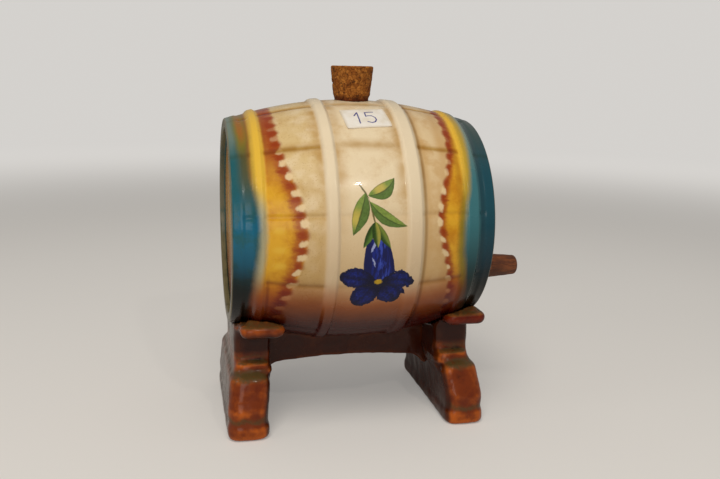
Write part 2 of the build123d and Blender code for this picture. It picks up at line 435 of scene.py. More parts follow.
def scallop_group():
    """Row of thumbed cream dots along a curved border, with soft rust marks between them."""
    inputs = ["From border", "Angle", "Dot place"]
    group, start, end = new_group("scalloped border", inputs, ["Dots", "Marks", "Spray"])
    place = start["Place"]
    drift = (cloud(place, 0.05, 1.0) - 0.5) * 7.0
    share = (start["Angle"] + drift) / dot_pitch_angle
    row = calc("ROUND", share)
    luck = new_node(group, "TexWhiteNoise", {"W": row}, noise_dimensions="1D")
    luck_a, luck_b, luck_c = split(Value(luck.outputs["Color"]))
    pitch = dot_pitch_angle * math.radians(1) * belly_radius
    beside = (share - row) * pitch
    across = start["From border"] - start["Dot place"]

    # Dots: taller than wide, leaning a little and blunt towards the barrel's middle
    from_dot = across + (luck_b * 1.6 - 0.8)
    inward = smaller(from_dot, 0.0) * 0.8
    from_dot = larger(from_dot, 0.0) + inward
    wide = from_dot / (luck_c * 0.7 + 1.6)
    leaning = from_dot * 0.25 + (beside + (luck_a * 1.8 - 0.9))
    tall = leaning / (inward * -0.2 + (luck_b * 0.6 + 1.5))
    ripple = cloud(place, 0.5, 2.0) - 0.5
    dots = step(ripple * 1.1 + distance(wide, tall), 1.25, 0.55)

    # Marks: flame-like spots between the dots, and a spray that joins them
    flames = cloud(drawn_out(place, (0.4, 1.0, 1.0)), 0.42, 4.0, 0.68) - 0.5
    from_mark = (pitch / 2 - abs(beside)) / (luck_c * 0.8 + 1.9)
    across = flames * 5.2 + across
    outward = larger(across, 0.0) / 3.3
    inward = smaller(across, 0.0) / 2.2
    marks = step(flames * 1.5 + distance(from_mark, outward, inward), 1.5, 0.25)
    spray = step(across, -1.6, 1.0) * step(across, 6.4, 1.4)
    fill(end, {"Dots": dots, "Marks": marks, "Spray": spray})
    return group


scallop = scallop_group()


# Barrel shell

even_steps = 46
outer_clearing = 1.2
inner_clearing = 1.5 * hoop_shoulder
chime_clearing = 1.0
shoulder_steps = 6
columns_per_stave = 32
column_gathering = 0.72
groove_line_width = 1.15
groove_hollow_width = 2.6
groove_hollow_depth = 0.12
centre_fill = 0.3
side_fill = 0.6
glaze_unevenness = 0.1
rim_inner_round = 0.8
rebate_point_gap = 0.4
ledge_length = 2.4
cavity_slope_x = 47.0
cavity_steps = 16
glaze_wave_length = 14.0
bung_cutter_depth = 26.0
bung_cutter_sunk = 4.0
bung_hole_sides = 96


def outside_radius(x):
    """Outer radius of the shell at x, without the rounding of its rims."""
    return stave_radius(x) + hoop_proud * hoop_share(x) + chime_proud * chime_share(x)


def outside_places():
    """Places along the shell that its outline needs: evenly on the staves, closer at each hoop."""
    reach = half_length - chime_round
    places = {-reach, reach}
    for i in range(1, even_steps):
        places.add(-reach + 2 * reach * i / even_steps)

    # Near each edge of a hoop or a rim, the even places give way to closer ones
    for place, width in hoops:
        for side in (-1, 1):
            edge = place + side * width / 2
            places = {x for x in places if not -outer_clearing < (edge - x) * side < inner_clearing}
            for i in range(-1, shoulder_steps + 3):
                places.add(edge - side * hoop_shoulder * i / shoulder_steps)
    for side in (-1, 1):
        edge = side * chime_edge
        places = {x for x in places if abs(x - edge) > chime_clearing}
        for inward in (-0.7, -0.4, -0.2, 0, 0.2, 0.4, 0.7):
            places.add(edge + inward)
    return sorted(places)


def shell_outline():
    """Closed outline of the wall: outside from left to right, right rim, then back along the inside."""
    outside = [(x, outside_radius(x)) for x in outside_places()[1:-1]]
    rim_x = half_length - chime_round
    rim_radius = outside_radius(rim_x) - chime_round
    inner_x = half_length - rim_inner_round
    inner_radius = rebate_radius + rim_inner_round
    ledge_radius = rebate_radius - ledge_width
    right = arc(rim_x, rim_radius, chime_round, 90, 0) + arc(inner_x, inner_radius, rim_inner_round, 0, -90)
    right += [(head_face_x + rebate_point_gap, rebate_radius), (ledge_x, rebate_radius)]
    right += [(ledge_x, ledge_radius), (ledge_x - ledge_length, ledge_radius)]
    left = [(-x, radius) for x, radius in reversed(right)]
    inside = []
    for i in range(cavity_steps + 1):
        x = cavity_slope_x - 2 * cavity_slope_x * i / cavity_steps
        inside.append((x, stave_radius(x) - wall))
    return outside + right + inside + left


def groove_valley(x, from_groove):
    """How far the glazed surface sinks at a distance from a stave groove."""
    line = groove_depth * math.exp(-((from_groove / groove_line_width) ** 2))
    hollow = groove_hollow_depth * math.exp(-((from_groove / groove_hollow_width) ** 2))
    filled = centre_fill if hoops[1][0] < x < hoops[2][0] else side_fill
    return (line * filled + hollow) * (1 - hoop_share(x)) * (1 - chime_share(x))


def shape_staves(piece):
    """Gather the columns at the stave grooves and sink the outer ones into them."""
    for point in piece.data.vertices:
        x = (point.co.x - barrel_x) / MM
        forward = -point.co.y / MM
        up = (point.co.z - axis_z) / MM
        radius = math.hypot(forward, up)
        angle = math.degrees(math.atan2(up, forward))
        share = (angle - first_groove_angle) / stave_angle
        number = round(share)
        share -= number
        share -= column_gathering * math.sin(2 * math.pi * share) / (2 * math.pi)
        angle = first_groove_angle + (number + share) * stave_angle
        if radius > outside_radius(x) - chime_round and abs(x) < half_length - chime_round:
            radius -= groove_valley(x, abs(share) * math.radians(stave_angle) * radius)
            place = around(x, angle, radius)
            radius -= glaze_unevenness * (0.5 + 0.5 * noise.noise(place / (glaze_wave_length * MM)))
        point.co = around(x, angle, radius)


def glazed_shell(material):
    """Hollow cast barrel with soft glazed hoops, stave grooves and the open bung hole."""
    outline = [around(x, 0, radius) for x, radius in shell_outline()]
    piece = spun("glazed_shell", outline, stave_count * columns_per_stave, barrel_middle, (1, 0, 0))
    shape_staves(piece)
    half_depth = bung_cutter_depth / 2
    slope = (bung_hole_top_radius - bung_hole_bottom_radius) / bung_hole_depth
    lower = bung_hole_top_radius - slope * (half_depth + bung_cutter_sunk)
    upper = bung_hole_top_radius + slope * (half_depth - bung_cutter_sunk)
    middle = (barrel_x + bung_x * MM, 0, axis_z + (belly_radius - bung_cutter_sunk) * MM)
    cut_tapered_hole(piece, middle, bung_hole_sides, (lower, upper), bung_cutter_depth)
    smooth_up_to(piece, 50)
    finish_piece(piece, "barrel", "barrel_glaze", material, "barrel_shell")


# Barrel glaze

cream = srgb(234, 215, 180)
warm_cream = srgb(214, 184, 138)
hoop_cream = srgb(235, 218, 187)
lower_hoop_shade_cream = srgb(210, 180, 140)
dot_cream = srgb(230, 204, 158)
pale_tan = srgb(226, 200, 156)
tan = srgb(200, 156, 92)
rust = srgb(148, 54, 12)
rust_spray_and_lower_shade = srgb(182, 100, 34)
shoulder_rust = srgb(158, 82, 34)
yellow = srgb(224, 168, 40)
bright_yellow = srgb(232, 188, 64)
orange = srgb(198, 130, 18)
teal = srgb(30, 90, 98)
bright_teal = srgb(22, 100, 128)
deep_teal = srgb(16, 60, 66)
navy = srgb(2, 38, 54)
hoop_teal = srgb(60, 116, 124)
chime_teal = srgb(22, 74, 88)
pale_haze = srgb(172, 170, 140)
olive = srgb(126, 116, 34)
dark_olive = srgb(84, 78, 36)
ochre = srgb(178, 132, 56)
patch_ochre = srgb(158, 98, 28)
brown_ochre = srgb(166, 110, 18)
speck_brown = srgb(78, 62, 34)
worn_rim = srgb(128, 116, 80)
hole_shade_brown = srgb(62, 36, 18)

# Tints that darken what lies under them
# The next two are painted shade with a reddish painted reflection, for the undersides
underside_shade_tint = srgb(206, 138, 98)
underside_deep_shade_tint = srgb(104, 42, 26)
dust_tint = srgb(206, 176, 126)
faded_tint = srgb(236, 224, 192)
groove_tint = srgb(206, 184, 118)
left_hoop_foot_tint = srgb(150, 92, 50)
right_hoop_foot_shadow_and_stain = srgb(182, 164, 128)

# Lines round the barrel: far place, bulge at the front, middle angle of the bulge and its spread
left_border_line = (-40.0, 11.5, 3, 30)
right_border_line = (40.0, -8.4, 9, 24)
left_blue_line = (-52.0, 4.1, 4, 24)
right_blue_line = (49.8, -5.4, 0, 27)
right_border_narrowing = 1.55


def bulging_line(angle, far, bulge, middle, spread):
    """Place along the barrel of a line that leaves far by bulge round a middle angle."""
    turn = (angle - middle) / spread
    swell = calc("EXPONENT", turn * turn * -1.0)
    return swell * bulge + far


def stained_panels(x, up, groove, patchy):
    """Ochre that was sprayed into the corners of the staves, along hoops and grooves."""
    near_hoop = 0.0
    for place_x, width in hoops[1:3]:
        from_hoop = abs(x - place_x) - width / 2
        near_hoop = larger(near_hoop, step(from_hoop, 5.5, 0.0))
    near_groove = step(groove, 4.6, 0.2) * 0.7
    strength = step(up, -6, 44, 0.1, 0.72)
    return larger(near_hoop, near_groove) * strength * patchy


def oval(x, up, middle_x, middle_up, reach_x, reach_up):
    """Distance from the middle of an oval, 1 on its edge."""
    return distance((x - middle_x) / reach_x, (up - middle_up) / reach_up)


def left_side_colours(colour, sprayed, x, up, from_border, from_blue, mottle):
    """Warm band, rusty shoulder, yellow hoop and blue end on the left."""
    # Warm band with three lighter spots, rusty above and below
    warm = paint(yellow, orange, step(mottle, 0.38, 0.74))
    for spot_up in (5.2, -3.4, -10.8):
        spot = oval(sprayed, up, -41.0, spot_up, 3.2, 1.9)
        warm = paint(warm, bright_yellow, step(spot, 1.3, 0.2, 0.0, 0.6))
    # Rust-brown towards the bottom: painted shade and a reddish painted reflection
    warm = paint(warm, rust_spray_and_lower_shade, step(up, -16, -34, 0.0, 0.4))
    warm = paint(warm, shoulder_rust, step(up, 18, 44, 0.0, 0.9))
    colour = paint(colour, warm, step(from_border, -0.6, 1.6))

    # The hoop is yellow where light falls on it
    hoop_x, width = hoops[0]
    on_hoop = between(x, hoop_x - width / 2, hoop_x + width / 2, 2.0)
    colour = paint(colour, bright_yellow, on_hoop * step(up, 0, 18, 0.15, 0.95))

    # Blue end: brighter in the middle, navy below, and olive with an ochre patch above
    end = paint(teal, bright_teal, step(up, 26, 8) * step(mottle, 0.4, 0.6))
    end = paint(end, navy, step(up, 4, -32))
    end = paint(end, pale_haze, step(up, 32, 46) * step(sprayed, -57.0, -60.0) * 0.35)
    beside_hoop = step(sprayed, -59.5, -54.6)
    end = paint(end, dark_olive, step(up, 8, 34) * beside_hoop * 0.9)
    patch = oval(sprayed, up, -55.8, 47.0, 2.6, 8.0)
    end = paint(end, olive, step(patch, 1.7, 0.7, 0.0, 0.8))
    end = paint(end, patch_ochre, step(patch, 1.05, 0.2, 0.0, 0.9))

    # Haze along the line where the blue begins, and a darker line along the hoop's foot
    hazy = step(from_blue, -3.6, -0.6) * step(up, 26, 12) * step(up, -38, -14)
    colour = paint(colour, pale_haze, hazy * 0.85)
    colour = paint(colour, end, step(from_blue, -1.2, 3.2))
    foot = abs(x - (hoop_x + width / 2 + 0.5))
    strength = larger(step(up, -14, -24, 0.0, 0.5), step(up, 34, 48, 0.0, 0.4))
    return darken(colour, left_hoop_foot_tint, step(foot, 1.3, 0.1) * strength)


def right_side_colours(colour, sprayed, x, up, from_border, from_blue, mottle):
    """Tan field, warm band, olive edge and blue end on the right."""
    # Tan field behind the hoop, lighter in its middle
    centre_hoop_end = hoops[2][0] + hoops[2][1] / 2
    field = step(sprayed, centre_hoop_end - 1.5, centre_hoop_end + 2.5, 0.0, 0.75)
    colour = paint(colour, tan, field)
    lighter = between(sprayed, 26.5, 34, 5.0) * step(mottle, 0.34, 0.6) * step(up, -10, 46, 0.3, 0.9)
    colour = paint(colour, pale_tan, lighter)

    # Warm band up to the hoop, brownish before it and yellow on its edge
    warm = paint(yellow, orange, step(mottle, 0.34, 0.7))
    # Rust-brown towards the bottom: painted shade and a reddish painted reflection
    warm = paint(warm, rust_spray_and_lower_shade, step(up, -10, -32, 0.0, 0.45))
    colour = paint(colour, warm, step(from_border, -0.4, 1.8))
    hoop_x, width = hoops[3]
    edge = hoop_x - width / 2
    brownish = between(sprayed, edge - 3.6, edge - 0.8, 2.6)
    colour = paint(colour, brown_ochre, brownish * step(up, -6, 30, 0.1, 0.5))
    on_edge = between(x, edge - 0.4, edge + 6.6, 2.2)
    colour = paint(colour, bright_yellow, on_edge * step(up, 0, 24, 0.0, 0.85))

    # Olive edge and blue end, darker in the recess and on the rim
    greenish = between(from_blue, -3.0, 1.0, 3.4)
    colour = paint(colour, olive, greenish * step(up, 34, 2, 0.5, 0.85))
    end = paint(hoop_teal, deep_teal, step(up, 12, -22))
    end = paint(end, pale_haze, step(up, 24, 52, 0.0, 0.45))
    colour = paint(colour, end, step(from_blue, -1.6, 1.8))
    recess = step(x, hoop_x + width / 2 - 1.2, hoop_x + width / 2 + 0.4)
    colour = paint(colour, navy, recess * 0.75)
    chime = step(x, chime_edge - 1.4, chime_edge + 1.0)
    blue = paint(chime_teal, navy, step(up, 14, -26))
    blue = paint(blue, dark_olive, step(up, 26, 50, 0.0, 0.4))
    colour = paint(colour, blue, chime * 0.9)
    # Painted shadow with an ochre stain along the right foot of the hoop
    foot = abs(x - (centre_hoop_end + 0.4))
    return darken(colour, right_hoop_foot_shadow_and_stain, step(foot, 1.6, 0.1) * 0.75)


def barrel_glaze_material():
    """Sprayed and hand-coloured glaze of the shell, with the fired flower on its front."""
    material, tree, shader = new_material("barrel_glaze")
    place = object_place(tree, barrel_middle)
    x, y, up = split(place)
    lines = use_group(stave_line, place)
    angle, front, groove = lines["Angle"], lines["Front angle"], lines["Distance"]
    drift = (cloud(place, 0.055, 2.0) - 0.5) * 2.4
    grit = (cloud(place, 1.1, 3.0, 0.6) - 0.5) * 1.1
    wander = drift + grit
    sprayed = x + wander
    mottle = grit * 0.1 + cloud(place, 0.1, 4.0, 0.6)
    patchy = step(cloud(place, 0.12, 2.0), 0.3, 0.62, 0.4, 1.0)

    # Cream ground, dusty and faded in places, mottled and darker towards the bottom as painted shade, with
    # stained stave corners
    mottle_and_lower_shade = larger(step(mottle, 0.45, 0.85), step(up, 32, -18, 0.0, 0.95))
    colour = paint(cream, warm_cream, mottle_and_lower_shade)
    dust = step(cloud(place, 1.5, 3.0, 0.65), 0.55, 0.72) * step(x, -12, -24, 0.25, 0.8)
    colour = darken(colour, dust_tint, dust * 0.7)
    colour = darken(colour, faded_tint, step(sprayed, -17, -24) * patchy)
    colour = paint(colour, ochre, stained_panels(x, up, groove, patchy))

    # Colours of both sides, out from the borders
    from_left = bulging_line(front, *left_border_line) - x
    from_right = x - bulging_line(front, *right_border_line)
    left_end = bulging_line(front, *left_blue_line) - x - wander
    right_end = x - bulging_line(front, *right_blue_line) + wander
    colour = left_side_colours(colour, sprayed, x, up, from_left + grit, left_end, mottle)
    colour = right_side_colours(colour, sprayed, x, up, from_right + grit, right_end, mottle)

    # Thumbed borders, whose dots fade towards the top
    narrower = from_right * right_border_narrowing
    for from_border, dot_place, fade in ((from_left, 1.7, 42), (narrower, 0.8, 32)):
        border = use_group(scallop, place, from_border=from_border, angle=front, dot_place=dot_place)
        distinct = step(up, fade + 8, fade - 12, 0.1, 1.0)
        colour = paint(colour, rust_spray_and_lower_shade, border["Spray"] * 0.8)
        crowded = step(up, fade - 8, fade + 8, 0.5, 0.85)
        colour = paint(colour, rust, border["Spray"] * crowded)
        colour = paint(colour, rust, border["Marks"] * 0.88)
        colour = paint(colour, dot_cream, border["Dots"] * distinct * 0.92)

    # The two middle hoops stay cream, darker towards the bottom as painted shade
    shaded_middle_hoop = paint(hoop_cream, lower_hoop_shade_cream, step(up, 34, -16, 0.0, 0.7))
    for place_x, width in hoops[1:3]:
        on_hoop = between(x, place_x - width / 2 + 0.5, place_x + width / 2 - 0.5, 1.8)
        colour = paint(colour, shaded_middle_hoop, on_hoop * 0.93)

    # Stain that settled in the grooves, off the hoops and faint on the blue ends
    off_hoops = step(abs(x), 55.0, 50.0, 0.35, 1.0)
    for place_x, width in hoops:
        from_hoop = abs(x - place_x)
        off_hoops = off_hoops * step(from_hoop, width / 2 - 0.8, width / 2 + 0.4)
    centre = between(x, hoops[1][0], hoops[2][0], 2.0)
    depth = step(front, 20, 34) + step(front, -6, -18, 0.16, 0.8)
    depth = depth * (centre * -0.72 + 1.0) * off_hoops
    line = step(groove, 2.3, 0.1)
    colour = darken(colour, groove_tint, line * depth * 0.8)

    # Specks, and painted shade with a reddish painted reflection on the underside
    speck_size = step(cloud(place, 0.21, 1.0), 0.5, 0.68, 0.0, 0.05)
    specks = calc("LESS_THAN", cells(place, 0.06), speck_size)
    colour = paint(colour, speck_brown, specks * 0.85)
    # Painted shade and reddish painted reflection, darker towards the bottom
    underside_shade_wave = x * x * -0.002 + (drift * 2.2 + up)
    colour = darken(colour, underside_shade_tint, step(underside_shade_wave, -15, -34))
    colour = darken(colour, underside_deep_shade_tint, step(underside_shade_wave, -25, -47))
    colour = fired_flower(colour, place, x, angle)

    # Rims, worn thin on their end faces and inside
    rim_face = step(abs(x), half_length - 0.7, half_length - 0.2)
    rim_inside = step(distance(y, up), rebate_radius + 0.9, rebate_radius + 0.4)
    worn = larger(rim_face, rim_inside) * step(mottle, 0.3, 0.55, 0.4, 0.8)
    colour = paint(colour, worn_rim, worn)

    # Wall of the bung hole, painted dark brown as shade
    from_bung = distance(x - bung_x, y)
    in_hole = step(from_bung, bung_hole_top_radius + 0.5, bung_hole_top_radius + 0.2)
    in_hole = in_hole * step(up, belly_radius - 0.3, belly_radius - 0.9)
    colour = paint(colour, hole_shade_brown, in_hole * step(up, 0.0, 1.0))
    glaze_finish(shader, place, colour, wave=0.1, gloss_range=(0.2, 0.3), pit_roughness=0.4)
    fill(shader, {"Specular IOR Level": 0.28, "Coat Weight": 0.15, "Coat Roughness": 0.05})
    return material


# Fired flower on the front: a blue alpine bloom with three leaves, drawn on the unrolled belly

stem_brown = srgb(92, 86, 36)
leaf_green = srgb(84, 118, 46)
leaf_light = srgb(126, 150, 62)
leaf_gold = srgb(196, 176, 78)
leaf_shade = srgb(44, 68, 22)
bloom_blue = srgb(16, 36, 132)
bloom_dark = srgb(7, 8, 46)
bloom_light = srgb(62, 84, 188)
bloom_glint = srgb(176, 186, 226)
stamen_yellow = srgb(198, 160, 34)
degree_length = math.radians(1) * belly_radius


def leaf_form_group():
    """Pointed form from a base to a tip on the unrolled belly, with its length and sides for shading."""
    inputs = ["Along", "Around", "Base along", "Base around", "Turn", "Length"]
    inputs += ["Half width", "Bend", "Fullness", "Ragged", "Bluntness"]
    group, start, end = new_group("leaf form", inputs, ["Mask", "Share", "Side"])
    from_base = start["Along"] - start["Base along"]
    up_base = start["Around"] - start["Base around"]
    cosine = calc("COSINE", start["Turn"])
    sine = calc("SINE", start["Turn"])
    forward = from_base * cosine + up_base * sine
    aside = up_base * cosine - from_base * sine
    share = forward / start["Length"]
    inside = smaller(larger(share, 0.0), 1.0)
    arch = inside * (1.0 - inside) * 4.0 * start["Bend"]
    rough = cloud(start["Place"], 0.55, 2.0, 0.6) - 0.5
    aside = rough * start["Ragged"] + (aside - arch)
    width = calc("SINE", calc("POWER", inside, start["Fullness"]) * math.pi)
    width = calc("POWER", larger(width, 0.0), start["Bluntness"]) * start["Half width"]
    mask = step(width - abs(aside), -0.05, 0.3)
    mask = mask * calc("GREATER_THAN", share, 0.0) * calc("LESS_THAN", share, 1.0)
    fill(end, {"Mask": mask, "Share": inside, "Side": aside / larger(width, 0.05)})
    return group


leaf_form = leaf_form_group()


def flower_piece(spot, base, tip, half_width, bend=0.0, fullness=1.0, ragged=0.4, bluntness=0.75):
    """One leaf form between two spots, each an x in millimetres and an angle up from the front."""
    place, along, around_front = spot
    start = (base[0], base[1] * degree_length)
    finish = (tip[0], tip[1] * degree_length)
    return use_group(
        leaf_form,
        place,
        along=along,
        around=around_front,
        base_along=start[0],
        base_around=start[1],
        turn=math.atan2(finish[1] - start[1], finish[0] - start[0]),
        length=math.dist(start, finish),
        half_width=half_width,
        bend=bend,
        fullness=fullness,
        ragged=ragged,
        bluntness=bluntness,
    )


def fired_flower(colour, place, x, angle):
    """Stem, leaves, bell, cup and open lobes laid on the glaze one after another."""
    arc_length = angle * degree_length
    spot = (place, x, arc_length)
    streak = cloud(place, 0.9, 3.0, 0.6)
    brushed = cloud(drawn_out(place, (1.0, 0.22, 0.22)), 0.8, 3.0, 0.6)

    # Stem, from the top down to the cup, with a short fork
    for base, tip, width, bend in (
        ((-7.6, 27.0), (-1.6, 18.2), 0.55, 0.3),
        ((-2.6, 20.4), (1.0, 6.0), 0.6, 0.4),
        ((-2.2, 18.8), (0.8, 21.6), 0.4, 0.0),
    ):
        stem = flower_piece(spot, base, tip, width, bend, fullness=1.3, ragged=0.5)
        colour = paint(colour, stem_brown, stem["Mask"] * 0.92)

    # Each leaf is light on one side of its rib and dark on the other, with a golden patch on the light side
    for base, tip, width, bend, lit_side, gold_share in (
        ((-2.2, 20.0), (10.6, 27.9), 3.8, -2.3, 1, 0.42),
        ((-3.3, 21.2), (-9.3, 3.0), 3.8, 0.6, -1, 0.6),
        ((-1.6, 17.6), (16.0, 6.6), 3.1, -2.4, 1, -1.0),
    ):
        leaf = flower_piece(spot, base, tip, width, bend, fullness=0.9, ragged=0.5, bluntness=0.9)
        lit = step(leaf["Side"] * lit_side, -0.12, 0.2)
        shade = paint(leaf_green, leaf_shade, step(streak, 0.45, 0.75, 0.1, 0.6))
        light = paint(leaf_green, leaf_light, step(streak, 0.3, 0.6, 0.4, 1.0))
        golden = step(abs(leaf["Share"] - gold_share), 0.3, 0.06, 0.0, 0.9)
        tone = paint(shade, paint(light, leaf_gold, golden), lit)
        rib = step(abs(leaf["Side"]), 0.15, 0.02, 0.0, 0.8)
        rim = step(abs(leaf["Side"]), 0.72, 1.0, 0.0, 0.6)
        tip_shade = step(leaf["Share"], 0.8, 1.0, 0.0, 0.7)
        tone = paint(tone, leaf_shade, larger(rib, rim, tip_shade))
        colour = paint(colour, tone, leaf["Mask"] * 0.96)

    # The bell widens downwards, with two pale glints
    bell = flower_piece(spot, (0.7, 9.7), (6.2, -37.8), 7.4, ragged=0.5)
    sunny = between(bell["Side"], -0.5, 0.75, 0.5) * step(brushed, 0.36, 0.6)
    tone = paint(bloom_dark, bloom_blue, larger(sunny, 0.25))
    bright = between(bell["Side"], -0.05, 0.6, 0.4) * step(brushed, 0.48, 0.66)
    tone = paint(tone, bloom_light, bright * 0.85)
    for base, tip, width in (((1.2, 1.4), (-1.2, -4.6), 0.7), ((-0.4, -6.4), (1.2, -11.4), 0.55)):
        glint = flower_piece(spot, base, tip, width, bend=0.3, ragged=1.2)
        tone = paint(tone, bloom_glint, glint["Mask"] * 0.75)
    shown = bell["Mask"] * step(angle, 2.2, 1.2) * step(angle, -24.0, -22.0)
    colour = paint(colour, tone, shown)

    # Cup of three pointed sepals over the top of the bell
    for base, tip, width, bend, warm in (
        ((0.7, 8.8), (-4.6, -2.4), 1.9, 0.3, 0.0),
        ((0.9, 8.8), (8.2, -2.8), 2.0, -0.3, 0.3),
        ((0.7, 8.8), (2.1, -2.4), 2.1, 0.0, 0.9),
    ):
        sepal = flower_piece(spot, base, tip, width, bend, fullness=0.9)
        tone = paint(leaf_shade, leaf_green, step(sepal["Side"], -0.6, 0.5))
        tone = paint(tone, leaf_gold, step(sepal["Side"], -0.3, 0.5) * warm * 0.6)
        rim = step(abs(sepal["Side"]), 0.7, 0.98)
        tone = paint(tone, leaf_shade, rim * 0.85)
        colour = paint(colour, tone, sepal["Mask"])

    # Open lobes, the lower ones first; the two short ones are the pointed tips between them
    middle = (3.4, -18.4)
    for tip, width, bend, bluntness in (
        ((0.6, -28.6), 2.6, 0.0, 0.8),
        ((17.0, -25.4), 3.4, 0.0, 0.9),
        ((13.0, -29.8), 5.6, 0.0, 0.46),
        ((-6.8, -31.0), 6.0, 0.0, 0.46),
        ((-14.6, -15.0), 5.4, 0.0, 0.62),
        ((20.4, -19.0), 4.9, 1.0, 0.8),
    ):
        lobe = flower_piece(spot, middle, tip, width, bend, fullness=1.3, ragged=3.6, bluntness=bluntness)
        vein = abs(calc("SINE", lobe["Side"] * 4.0))
        glow = step(lobe["Share"], 0.2, 0.6) * step(lobe["Share"], 0.98, 0.7)
        glow = glow * step(vein, 0.1, 0.9, 0.3, 1.0) * step(streak, 0.34, 0.6, 0.3, 1.0)
        tone = paint(bloom_dark, bloom_blue, glow * 0.75)
        tone = paint(tone, bloom_light, glow * step(streak, 0.56, 0.72) * 0.25)
        rim = step(abs(lobe["Side"]), 0.8, 0.98)
        tone = paint(tone, bloom_dark, rim * 0.8)
        colour = paint(colour, tone, lobe["Mask"])
    from_middle = oval(x, arc_length, middle[0], middle[1] * degree_length, 1.9, 1.5)
    return paint(colour, stamen_yellow, step(streak * 0.5 + from_middle, 1.4, 0.9))


# Heads

head_soft_edge = 1.6
head_edge_rise = 0.5
head_edge_drop = 0.512
head_hollow = 0.25
head_edge_steps = 6
head_face_steps = 24
head_segments = 120
seam_overlap = 0.05
tap_drop = 27.8
tap_hole_radius = 7.3
tap_hole_depth = 10.0
tap_hole_narrowing = 0.35
tap_hole_flare = 0.2
tap_hole_sides = 72
head_dust_tint = srgb(190, 150, 100)


def glazed_head(name, node, side, material):
    """Disc that closes one end: slightly hollow, with glaze gathered along its seam."""
    reach = rebate_radius + seam_overlap
    back = ledge_x + seam_overlap
    outline = [(back, 0.0), (back, reach)]
    for i in range(head_edge_steps + 1):
        turn = math.radians(90 * i / head_edge_steps)
        x = head_face_x + head_edge_rise - head_edge_drop * math.sin(turn)
        outline.append((x, reach - head_soft_edge * (1 - math.cos(turn))))
    for i in range(1, head_face_steps + 1):
        radius = (reach - head_soft_edge) * (1 - i / head_face_steps)
        outline.append((head_face_x - head_hollow * math.cos(math.pi * radius / reach / 2), radius))
    points = [around(side * x, 0, radius) for x, radius in outline]
    piece = spun(name, points, head_segments, barrel_middle, (1, 0, 0))
    if side > 0:
        middle = (barrel_x + (head_face_x - head_thickness / 2) * MM, 0, axis_z - tap_drop * MM)
        radii = (tap_hole_radius - tap_hole_narrowing, tap_hole_radius + tap_hole_flare)
        cut_tapered_hole(piece, middle, tap_hole_sides, radii, tap_hole_depth, math.pi / 2)
    smooth_up_to(piece, 40)
    finish_piece(piece, "barrel", "head_glaze", material, node)


def head_glaze_material():
    """Yellow-orange glaze of the heads, teal along the seam, with painted shade and a reddish painted
    reflection below.
    """
    material, tree, shader = new_material("head_glaze")
    place = object_place(tree, barrel_middle)
    _, y, up = split(place)
    from_middle = distance(y, up)
    wander = (cloud(place, 0.08, 3.0) - 0.5) * 9.0
    mottle = cloud(place, 0.05, 3.0, 0.5)
    colour = paint(yellow, orange, step(mottle, 0.3, 0.75))
    colour = paint(colour, rust_spray_and_lower_shade, step(from_middle + wander, 26, 42) * 0.35)
    colour = paint(colour, teal, step(from_middle + wander * 0.3, 40.5, 45.0))
    # Painted shade and reddish painted reflection towards the bottom
    colour = darken(colour, underside_shade_tint, step(up, -4, -30))
    colour = darken(colour, underside_deep_shade_tint, step(up, -22, -52))
    dust = step(cloud(place, 1.4, 3.0, 0.65), 0.58, 0.75)
    colour = darken(colour, head_dust_tint, dust * 0.5)
    glaze_finish(shader, place, colour, wave=0.14, gloss_range=(0.18, 0.3), pit_roughness=0.4)
    fill(shader, {"Specular IOR Level": 0.28, "Coat Weight": 0.15, "Coat Roughness": 0.06})
    return material


# Stand

stand_voxel = 0.75
saddle_glaze_height = 56.0
web_middle = -14.7
web_end_height = 20.0
web_stretch = 1.2
softening_rounds = 18
crown_rounds = 30
lump_size = 7.0
lump_height = 0.25
ridge_size = 3.2
ridge_depth = 0.5
saddle_glaze_fade = 3.0

deep_brown = srgb(34, 9, 2)
glaze_brown = srgb(118, 48, 12)
edge_orange = srgb(188, 92, 22)
pooled_olive = srgb(82, 68, 38)
veil_brown = srgb(92, 30, 10)
stand_shade_brown = srgb(40, 10, 5)
lip_tint = srgb(156, 104, 120)


def copied_node(name, node):
    """Merged copy of a node's mesh as a new piece."""
    piece = new_object(name, nodes[node].data.copy())
    edit(piece)
    bpy.ops.mesh.remove_doubles(threshold=0.01 * MM)
    bpy.ops.object.mode_set(mode="OBJECT")
    return piece


def mark_crowns(piece):
    """Write the attribute crown: how far each point stands out of a softened copy, in millimetres."""
    soft = new_object("softened", piece.data.copy())
    apply_modifier(soft, "SMOOTH", factor=0.5, iterations=crown_rounds)
    values = []
    for point, softened in zip(piece.data.vertices, soft.data.vertices):
        values.append((point.co - softened.co).dot(point.normal) / MM)
    bpy.data.objects.remove(soft)
    crown = piece.data.attributes.new("crown", "FLOAT", "POINT")
    crown.data.foreach_set("value", values)
    only(piece)


